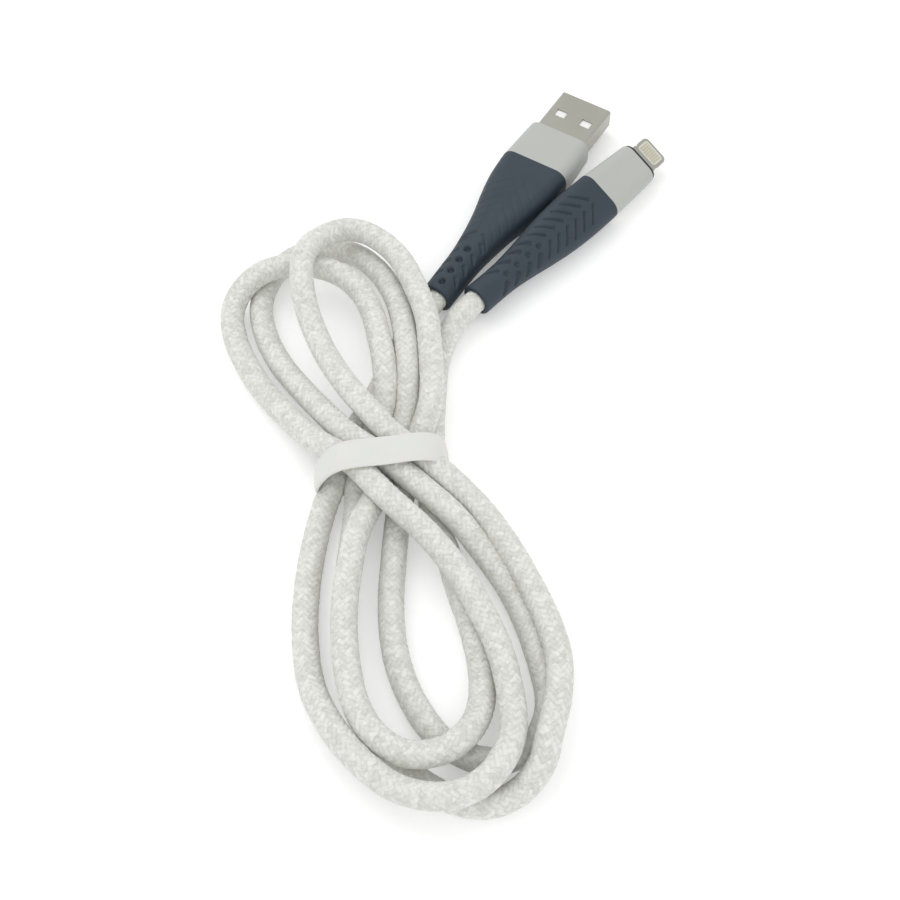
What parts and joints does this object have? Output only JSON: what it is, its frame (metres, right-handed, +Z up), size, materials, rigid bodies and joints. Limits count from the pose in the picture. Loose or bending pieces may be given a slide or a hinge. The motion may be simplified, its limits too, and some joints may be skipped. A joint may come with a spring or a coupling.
{
  "type": "charging cable",
  "caption": "Braided charging cable wound in a tied figure-of-eight hank, with a rectangular charger plug on one end and a slim phone plug on the other.",
  "frame": {"origin": "on the table, under the middle of the charger plug's box", "axes": "+Y is the way the charger plug goes into a socket, +Z is up from the table, +X is to the right seen from above"},
  "size_m": [0.1108, 0.1576, 0.0146],
  "materials": {
    "nickel_shell": "satin nickel plate",
    "tab_steel": "satin",
    "collar_aluminium": "matte anodised",
    "boot_rubber": "matte, charcoal navy",
    "tongue_plastic": "moulded",
    "insert_plastic": "moulded, cream",
    "bezel_plastic": "moulded, dark grey",
    "gold_contacts": "gold plated",
    "inner_mould_plastic": "moulded, natural",
    "plated_steel": "tin plated",
    "cord_jacket_plastic": "extruded",
    "cord_braid": "off-white nylon braid",
    "tie_silicone": "smooth, off-white",
    "circuit_board": "green lacquer",
    "chip_epoxy": "matte black",
    "capacitor_ceramic": "ceramic",
    "wire_red": "extruded",
    "wire_white": "extruded",
    "wire_green": "extruded",
    "wire_black": "extruded"
  },
  "bodies": {
    "root": {"charger_boot": "boot_rubber", "charger_braid_end": "cord_braid", "charger_collar": "collar_aluminium", "charger_contact_data_minus": "gold_contacts", "charger_contact_data_plus": "gold_contacts", "charger_contact_ground": "gold_contacts", "charger_contact_power": "gold_contacts", "charger_cord_jacket": "cord_jacket_plastic", "charger_cord_tail": "cord_braid", "charger_crimp_ferrule": "plated_steel", "charger_inner_mould": "inner_mould_plastic", "charger_shell": "nickel_shell", "charger_tongue": "tongue_plastic", "charger_wire_black": "wire_black", "charger_wire_green": "wire_green", "charger_wire_red": "wire_red", "charger_wire_white": "wire_white", "cord_hank": "cord_braid", "phone_bezel": "bezel_plastic", "phone_boot": "boot_rubber", "phone_braid_end": "cord_braid", "phone_capacitors": "capacitor_ceramic", "phone_circuit_board": "circuit_board", "phone_collar": "collar_aluminium", "phone_contact_insert": "insert_plastic", "phone_contacts_bottom": "gold_contacts", "phone_contacts_top": "gold_contacts", "phone_controller_chip": "chip_epoxy", "phone_cord_jacket": "cord_jacket_plastic", "phone_cord_tail": "cord_braid", "phone_crimp_ferrule": "plated_steel", "phone_inner_mould": "inner_mould_plastic", "phone_shield_can": "plated_steel", "phone_tab_frame": "tab_steel", "phone_wire_black": "wire_black", "phone_wire_green": "wire_green", "phone_wire_red": "wire_red", "phone_wire_white": "wire_white", "tie_band": "tie_silicone"}
  },
  "joints": []
}
